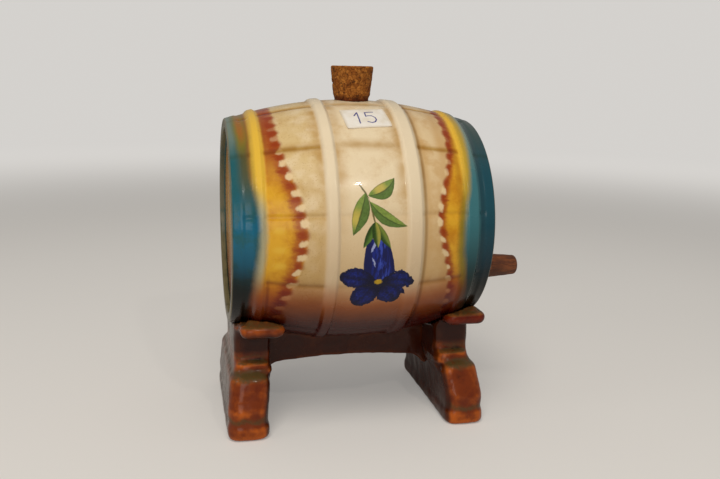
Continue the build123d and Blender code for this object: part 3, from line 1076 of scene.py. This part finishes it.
def glazed_stand_part(name, node, material, is_web=False):
    """Side or web of the stand: its solid with edges rounded and blurred by thick glaze.

    The web reaches a little into both sides and has no thin tips below.
    """
    piece = copied_node(name, node)
    low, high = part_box(node)
    if is_web:
        middle = (low.x + high.x) / 2
        for point in piece.data.vertices:
            point.co.x += math.copysign(web_stretch * MM, point.co.x - middle)
            point.co.z = max(point.co.z, web_end_height * MM)
    apply_modifier(piece, "REMESH", mode="VOXEL", voxel_size=stand_voxel * MM)
    apply_modifier(piece, "SMOOTH", factor=0.5, iterations=softening_rounds)
    piece.data.update()
    normals = [point.normal.copy() for point in piece.data.vertices]
    for point, normal in zip(piece.data.vertices, normals):
        lump = noise.fractal(point.co / (lump_size * MM), 1.0, 2.0, 2)
        crumpled = smooth_step(point.co.z / MM, saddle_glaze_height, saddle_glaze_height + saddle_glaze_fade)
        ridge = abs(noise.noise(point.co / (ridge_size * MM))) * crumpled
        point.co += normal * (lump * lump_height - ridge * ridge_depth) * MM
        point.co.z = max(point.co.z, low.z)
    piece.data.update()
    if not is_web:
        for point in piece.data.vertices:
            point.co.x = min(max(point.co.x, low.x), high.x)
            point.co.y = min(max(point.co.y, low.y), high.y)
    mark_crowns(piece)
    bpy.ops.object.shade_smooth()
    finish_piece(piece, "barrel", "stand_glaze", material, node)


def stand_glaze_material():
    """Thick brown glaze: thin and orange on the edges, dark in the hollows, olive where it pools."""
    material, tree, shader = new_material("stand_glaze")
    place = object_place(tree, (0, 0, 0))
    x, y, up = split(place)
    crown = Value(new_node(tree, "Attribute", {}, attribute_name="crown").outputs["Fac"])
    facing_x, _, facing_up = split(Value(tree.nodes.new("ShaderNodeNewGeometry").outputs["Normal"]))
    mottle = cloud(place, 0.06, 3.0, 0.55)
    streaks = cloud(place, 0.11, 3.0, 0.55, 0.8)
    grain = cloud(place, 0.6, 4.0, 0.65)
    wobble = (mottle - 0.5) * 0.8 + crown
    wobble = (grain - 0.5) * 0.16 + wobble
    colour = paint(deep_brown, glaze_brown, step(wobble, -0.3, 0.0))
    colour = paint(colour, edge_orange, step(wobble, 0.02, 0.34))
    veiled = step(streaks, 0.5, 0.66) * step(grain, 0.34, 0.62, 0.5, 1.0)
    colour = paint(colour, veil_brown, veiled * 0.6)
    level = step(facing_up, 0.3, 0.85)
    colour = paint(colour, pooled_olive, level * step(grain, 0.3, 0.6, 0.35, 0.85))

    # Olive bands that settled on the ridges of both sides
    on_trestle = step(abs(x - web_middle), 43.5, 46.5)
    sagging = (streaks - 0.5) * 8.0 + up
    for height, thickness, strength in ((28.6, 3.2, 0.7), (8.6, 2.6, 0.7), (37.2, 1.6, 0.55)):
        band = between(sagging, height, height + thickness, 2.2) * step(grain, 0.3, 0.56, 0.5, 1.0)
        colour = paint(colour, pooled_olive, band * (on_trestle * strength))

    # Painted shade in the shaded middle, at the waist, on the web and on the faces that look at it
    shaded_core = step(up, 36.0, 20.0) * step(abs(y), 37.0, 30.0)
    waist = between(up, 39.0, 53.0, 5.0)
    stand_shade = larger(shaded_core * 0.8, waist * 0.9)
    web = step(on_trestle, 1.0, 0.0) * step(abs(y), 10, 7)
    facing_in = calc("SIGN", web_middle - x) * facing_x
    inside = step(facing_in, 0.5, 0.85) * step(up, 50, 40)
    stand_shade = larger(stand_shade, larger(web, inside) * 0.8)
    colour = paint(colour, stand_shade_brown, stand_shade)

    # The lips under the saddle are redder, most of all on the right
    lip = between(up, 50.5, 58.0, 2.0) * step(facing_up, 0.8, 0.4)
    lip = lip * step(x, -40, 20, 0.35, 1.0)
    colour = darken(colour, lip_tint, lip)
    glaze_finish(shader, place, colour, wave=0.16, gloss_range=(0.17, 0.33), pit_roughness=0.3)
    fill(shader, {"IOR": 1.38, "Specular IOR Level": 0.24})
    fill(shader, {"Coat Weight": 0.4, "Coat Roughness": 0.07, "Coat IOR": 1.42})
    return material


# Cork

cork_neck_radius = 8.6
cork_shoulder_radius = 9.3
cork_top_radius = 10.7
cork_neck_height = 0.6
cork_shoulder_height = 2.5
cork_height = 16.5
cork_shank_length = 15.0
cork_shank_slope = 0.045
cork_edge = 0.9
cork_foot_edge = 0.5
cork_segments = 128
cork_point_gap = 0.55
granule = 1.9
granule_height = 0.09
granule_sunk = 0.1
seam_reach = 0.16
seam_depth = 0.9
torn_pit_depth = 0.5
torn_pit_spacing = 3.4
torn_pit_threshold = 0.46

granule_brown = srgb(136, 76, 22)
granule_tan = srgb(184, 118, 48)
cork_grain_brown = srgb(98, 46, 10)
cork_seam_brown = srgb(74, 34, 8)
cork_pit_brown = srgb(52, 24, 8)
cork_foot_tint = srgb(150, 110, 80)


def cork_outline():
    """Half outline of the cork, each point a radius and a height over the belly, from below to above."""
    foot = cork_neck_radius - cork_shank_slope * cork_shank_length
    corners = [
        (0, -cork_shank_length),
        (foot - cork_foot_edge, -cork_shank_length),
        (foot, -cork_shank_length + cork_foot_edge),
        (cork_neck_radius, 0),
        (cork_neck_radius, cork_neck_height),
        (cork_shoulder_radius, cork_shoulder_height),
        *arc(cork_top_radius - cork_edge, cork_height - cork_edge, cork_edge, 0, 90),
        (0, cork_height),
    ]
    points = [corners[0]]
    for start, end in zip(corners, corners[1:]):
        count = max(1, round(math.dist(start, end) / cork_point_gap))
        for i in range(1, count + 1):
            radius = start[0] + (end[0] - start[0]) * i / count
            points.append((radius, start[1] + (end[1] - start[1]) * i / count))
    return points


def granular_cork(material):
    """Cork of pressed granules, each a little proud or sunk, with a few torn pits."""
    x = barrel_x + bung_x * MM
    base = axis_z + belly_radius * MM
    outline = [Vector((x, -radius * MM, base + height * MM)) for radius, height in cork_outline()]
    piece = spun("pressed_cork", outline, cork_segments, (x, 0, base), (0, 0, 1))
    piece.data.update()
    moved = []
    for point in piece.data.vertices:
        place = point.co / (granule * MM)
        distances, spots = noise.voronoi(place)
        height = noise.cell(spots[0]) * granule_height - granule_sunk
        seam = max(0, seam_reach - (distances[1] - distances[0])) * seam_depth
        is_torn = noise.noise(point.co / (torn_pit_spacing * MM)) > torn_pit_threshold
        pit = torn_pit_depth if is_torn else 0
        moved.append(point.co + point.normal * (height - seam - pit) * MM)
    for point, place in zip(piece.data.vertices, moved):
        point.co = place
    apply_modifier(piece, "SMOOTH", factor=0.3, iterations=1)
    bpy.ops.object.shade_smooth()
    finish_piece(piece, "cork", "cork", material, "bung_cork")


def cork_material():
    """Granules in several browns, dark seams and pits, and a darker foot."""
    material, tree, shader = new_material("cork")
    place = object_place(tree, (barrel_x + bung_x * MM, 0, axis_z + belly_radius * MM))
    up = split(place)[2]
    tone = split(cells(place, 1 / granule, "Color"))[0]
    from_seam = cells(place, 1 / granule, feature="DISTANCE_TO_EDGE")
    fine = cloud(place, 1.3, 4.0, 0.65)
    pits = step(cloud(place, 0.42, 2.0), 0.6, 0.68)
    colour = paint(granule_brown, granule_tan, tone)
    colour = paint(colour, cork_grain_brown, step(fine, 0.45, 0.72))
    colour = paint(colour, cork_seam_brown, step(from_seam, 0.09, 0.0) * 0.5)
    colour = paint(colour, cork_pit_brown, pits * 0.7)
    colour = darken(colour, cork_foot_tint, step(up, 3.5, -0.5))
    roughness = step(fine, 0.2, 0.8, 0.62, 0.9)
    relief = step(from_seam, 0.0, 0.1) * 0.5 + fine
    fill(shader, {"Base Color": colour, "Roughness": roughness, "Normal": bump(relief, 0.18)})
    fill(shader, {"Specular IOR Level": 0.25})
    return material


# Tap stopper

grip_length = 35.9
grip_root_radius = 8.15
grip_tip_radius = 5.25
grip_edge = 1.7
stopper_shank_radius = 7.15
stopper_shank_slope = 0.055
stopper_tail_edge = 0.8
stopper_tail_corner = (0.3, 0.25)
stopper_segments = 72
grip_root_step = 0.05
grip_root_edge = 0.35
grip_steps = 29

# Marks of the turning tool along the grip, and the hollow that it left in the tip
tool_mark_depth = 0.05
close_tool_marks = 31
wide_tool_marks = 9
tip_hollow_depth = 0.25
tip_hollow_reach = 3.4
tip_hollow_radii = (2.4, 1.4, 0.7)
tip_centre_depth = 0.3

wood_brown = srgb(96, 48, 22)
wood_light = srgb(136, 78, 40)
pore_brown = srgb(66, 30, 14)
worn_brown = srgb(72, 36, 20)


def turned_stopper(material):
    """Plain turned stopper whose tapered shank closes the tap hole."""
    low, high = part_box("tap_stopper")
    middle = (barrel_x, 0, (low.z + high.z) / 2)
    tail = (low.x - barrel_x) / MM
    tip = (high.x - barrel_x) / MM
    root = tip - grip_length
    shank_end = stopper_shank_radius - stopper_shank_slope * (root - tail)
    corner_x, corner_drop = stopper_tail_corner
    outline = [
        (tail, 0),
        (tail, shank_end - stopper_tail_edge),
        (tail + corner_x, shank_end - corner_drop),
        (tail + stopper_tail_edge, shank_end),
        (root - grip_root_step, stopper_shank_radius),
        (root, grip_root_radius - grip_root_edge),
        (root + grip_root_edge, grip_root_radius),
    ]
    for i in range(1, grip_steps):
        share = i / grip_steps
        turned = tool_mark_depth * math.sin(share * close_tool_marks) * math.sin(share * wide_tool_marks)
        radius = grip_root_radius + (grip_tip_radius - grip_root_radius) * share + turned
        outline.append((root + (grip_length - grip_edge) * share, radius))
    outline += arc(tip - grip_edge, grip_tip_radius - grip_edge, grip_edge, 90, 0, 6)
    for radius in tip_hollow_radii:
        outline.append((tip - tip_hollow_depth * (1 - radius / tip_hollow_reach), radius))
    outline.append((tip - tip_centre_depth, 0))
    points = [Vector((barrel_x + x * MM, -radius * MM, middle[2])) for x, radius in outline]
    piece = spun("turned_stopper", points, stopper_segments, middle, (1, 0, 0))
    smooth_up_to(piece, 50)
    finish_piece(piece, "stopper", "stopper_wood", material, "tap_stopper")


def stopper_wood_material():
    """Stained wood with the grain and its open pores along it, and darker patches from handling."""
    material, tree, shader = new_material("stopper_wood")
    place = object_place(tree, (barrel_x, 0, axis_z - tap_drop * MM))
    along_grain = drawn_out(place, (0.09, 1, 1))
    fibre = cloud(along_grain, 0.9, 5.0, 0.65, 0.4)
    pores = step(cloud(along_grain, 3.2, 2.0, 0.6), 0.56, 0.66)
    mottle = cloud(place, 0.13, 3.0)
    colour = paint(wood_brown, wood_light, step(fibre, 0.35, 0.65))
    colour = paint(colour, pore_brown, pores * 0.7)
    colour = paint(colour, worn_brown, step(mottle, 0.42, 0.66) * 0.6)
    roughness = step(fibre, 0.3, 0.7, 0.48, 0.68)
    relief = bump(fibre - pores * 0.6, 0.12)
    fill(shader, {"Base Color": colour, "Roughness": roughness, "Normal": relief})
    return material


# Price label

label_length = 22.0
label_width = 16.0
label_x = 2.5
label_angle = 62.0
label_turn = 6.0
label_lift = 0.2
label_curl = 0.25
label_thickness = 0.16
label_wave = 0.04
label_wave_length = 5.0
label_columns = 44
label_rows = 32
corner_pull_along = 0.03
corner_pull_across = 0.04
pen_half_width = 0.34

paper_white = srgb(240, 234, 224)
paper_aged = srgb(228, 218, 200)
paper_edge = srgb(206, 186, 152)
pen_blue = srgb(38, 44, 128)


def paper_label(material):
    """Small paper label that follows the belly, with soft corners that have let go a little."""
    bpy.ops.object.select_all(action="DESELECT")
    bpy.ops.mesh.primitive_grid_add(x_subdivisions=label_columns, y_subdivisions=label_rows, size=1)
    piece = bpy.context.object
    piece.name = "paper_label"
    piece.data.name = "paper_label"
    turn = math.radians(label_turn)
    for point in piece.data.vertices:
        along, across = point.co.x * 2, point.co.y * 2
        corner = abs(along) ** 8 * abs(across) ** 8
        a = along * label_length / 2 * (1 - corner_pull_along * corner)
        b = across * label_width / 2 * (1 - corner_pull_across * corner)
        x = label_x + a * math.cos(turn) - b * math.sin(turn)
        arc_length = a * math.sin(turn) + b * math.cos(turn)
        radius = stave_radius(x) + label_lift + label_curl * max(0, abs(along) ** 6 * abs(across) ** 3)
        radius += label_wave * noise.noise(Vector((a, b, 0)) / label_wave_length)
        point.co = around(x, label_angle + math.degrees(arc_length / belly_radius), radius)
    edit(piece)
    bpy.ops.mesh.normals_make_consistent(inside=False)
    bpy.ops.object.mode_set(mode="OBJECT")
    apply_modifier(piece, "SOLIDIFY", thickness=label_thickness * MM, offset=-1.0)
    smooth_up_to(piece, 40)
    finish_piece(piece, "barrel", "label_paper", material, "price_label")


def pen_stroke(along, across, start, finish):
    """Distance in millimetres from a straight stroke on the label."""
    run = (finish[0] - start[0], finish[1] - start[1])
    square = run[0] ** 2 + run[1] ** 2
    a = along - start[0]
    b = across - start[1]
    share = a * (run[0] / square) + b * (run[1] / square)
    share = smaller(larger(share, 0.0), 1.0)
    a = a - share * run[0]
    b = b - share * run[1]
    return distance(a, b)


def label_paper_material():
    """Aged coated paper with browned edges and plain numerals in blue pen."""
    material, tree, shader = new_material("label_paper")
    place = object_place(tree, around(label_x, label_angle, belly_radius))
    x, y, z = split(place)
    lean = math.radians(label_angle)
    up_label = y * math.sin(lean) + z * math.cos(lean)
    turn = math.radians(label_turn)
    along = x * math.cos(turn) + up_label * math.sin(turn)
    across = up_label * math.cos(turn) - x * math.sin(turn)
    from_edge = smaller(label_length / 2 - abs(along), label_width / 2 - abs(across))
    fibre = cloud(place, 1.2, 4.0, 0.65)
    stain = cloud(place, 0.16, 3.0)
    colour = paint(paper_white, paper_aged, step(stain, 0.4, 0.75))
    colour = paint(colour, paper_edge, step(from_edge, 1.6, 0.1) * 0.5)

    # Numerals: straight strokes, and a bowl of short ones
    strokes = [((-5.2, 1.6), (-3.2, 4.4)), ((-3.2, 4.4), (-3.9, -4.6))]
    strokes += [((4.8, 4.5), (0.7, 4.2)), ((0.7, 4.2), (0.2, 0.7))]
    bowl = [(0.2, 0.7)]
    for i in range(7):
        swing = math.radians(105 - 40 * i)
        bowl.append((2.0 + 2.7 * math.cos(swing), -1.7 + 2.9 * math.sin(swing)))
    strokes += list(zip(bowl, bowl[1:]))
    nearest = 9.0
    for start, finish in strokes:
        nearest = smaller(nearest, pen_stroke(along, across, start, finish))
    pressure = fibre * 0.16 + nearest
    ink = step(pressure, pen_half_width + 0.18, pen_half_width - 0.06)
    colour = paint(colour, pen_blue, ink * step(fibre, 0.2, 0.45, 0.75, 0.95))
    roughness = step(fibre, 0.3, 0.7, 0.5, 0.62)
    fill(shader, {"Base Color": colour, "Roughness": roughness, "Normal": bump(fibre, 0.02)})
    return material


# Everything in its place

barrel_glaze = barrel_glaze_material()
head_glaze = head_glaze_material()
stand_glaze = stand_glaze_material()

glazed_shell(barrel_glaze)
glazed_head("left_glazed_head", "left_head", -1, head_glaze)
glazed_head("right_glazed_head", "right_head", 1, head_glaze)
glazed_stand_part("left_glazed_trestle", "left_trestle", stand_glaze)
glazed_stand_part("right_glazed_trestle", "right_trestle", stand_glaze)
glazed_stand_part("glazed_web", "stretcher", stand_glaze, is_web=True)
granular_cork(cork_material())
turned_stopper(stopper_wood_material())
paper_label(label_paper_material())


# Camera at the photograph's viewing angle

# Its turns in radians
yaw = 0.22662
pitch = 0.21148
roll = 0.02197
camera_from_barrel = (-83.73, -396.04, 75.64)
camera_place = Vector(camera_from_barrel) * MM + Vector(barrel_middle)
ahead = Vector((math.sin(yaw) * math.cos(pitch), math.cos(yaw) * math.cos(pitch), -math.sin(pitch)))
level_right = Vector((math.cos(yaw), -math.sin(yaw), 0))
level_up = level_right.cross(ahead)
right = math.cos(roll) * level_right + math.sin(roll) * level_up
above = -math.sin(roll) * level_right + math.cos(roll) * level_up
camera_data = bpy.data.cameras.new("camera")
camera_data.lens = 40.0
camera_data.sensor_width = 36.0
camera = new_object("camera", camera_data)
camera.matrix_world = Matrix.Translation(camera_place) @ Matrix((right, above, -ahead)).transposed().to_4x4()
bpy.context.scene.camera = camera


# Floor, backdrop and light; the lamps' places and sizes and the floor's size are in metres

backdrop_colour = (1, 0.97, 0.93, 1)
floor_colour = (0.62, 0.6, 0.57, 1)
black = (0, 0, 0, 1)
lamp_colour = (1, 0.95, 0.88)
backdrop_strength = 0.66
sky_strength = 0.28
near_floor_strength = 0.2
floor_size = 12
floor_fade_start = 350
floor_fade_end = 1500

bpy.ops.object.select_all(action="DESELECT")
bpy.ops.mesh.primitive_plane_add(size=floor_size)
floor = bpy.context.object
floor.name = "floor"
floor_material, floor_tree, floor_shader = new_material("floor")
floor_x, floor_y, _ = split(object_place(floor_tree, (0, 0, 0)))
floor_far = step(distance(floor_x, floor_y), floor_fade_start, floor_fade_end)
floor_seen = Value(floor_tree.nodes.new("ShaderNodeLightPath").outputs["Is Camera Ray"])
floor_dark = paint(floor_colour, black, floor_far * floor_seen)
near_glow = floor_seen * near_floor_strength
floor_glow = step(floor_far, 0.0, 1.0, near_glow, floor_seen * backdrop_strength)
fill(floor_shader, {"Base Color": floor_dark, "Roughness": 0.7, "Specular IOR Level": 0.0})
fill(floor_shader, {"Emission Color": backdrop_colour, "Emission Strength": floor_glow})
floor.data.materials.append(floor_material)

# The backdrop is pale to the camera, and the same sky gives the object a dimmer even light
world = bpy.data.worlds.new("studio")
bpy.context.scene.world = world
world.use_nodes = True
sky = world.node_tree.nodes["Background"]
seen = Value(world.node_tree.nodes.new("ShaderNodeLightPath").outputs["Is Camera Ray"])
sky_light = seen * (backdrop_strength - sky_strength) + sky_strength
fill(sky, {"Color": backdrop_colour, "Strength": sky_light})


def softbox(name, place, aim, size, watts, mirrored=True):
    """Square lamp that faces a point; with mirrored off, it lights the glaze without showing in it."""
    lamp = bpy.data.lights.new(name, "AREA")
    lamp.shape = "SQUARE"
    lamp.size = size
    lamp.energy = watts
    lamp.color = lamp_colour
    box = new_object(name, lamp)
    box.location = place
    box.rotation_euler = (Vector(aim) - Vector(place)).to_track_quat("-Z", "Y").to_euler()
    box.visible_glossy = mirrored


lamp_aim = (0, 0, 0.1)
softbox("key", (-0.2, -0.55, 0.95), lamp_aim, size=0.5, watts=5.2, mirrored=False)
softbox("glint", (0.1, -0.62, 0.64), lamp_aim, size=0.024, watts=0.45)
softbox("front window", (-0.3, -1.0, 0.35), lamp_aim, size=0.5, watts=1.3)
softbox("window", (-0.75, -0.25, 0.55), lamp_aim, size=0.16, watts=0.35)

bpy.context.scene.view_settings.view_transform = "Standard"
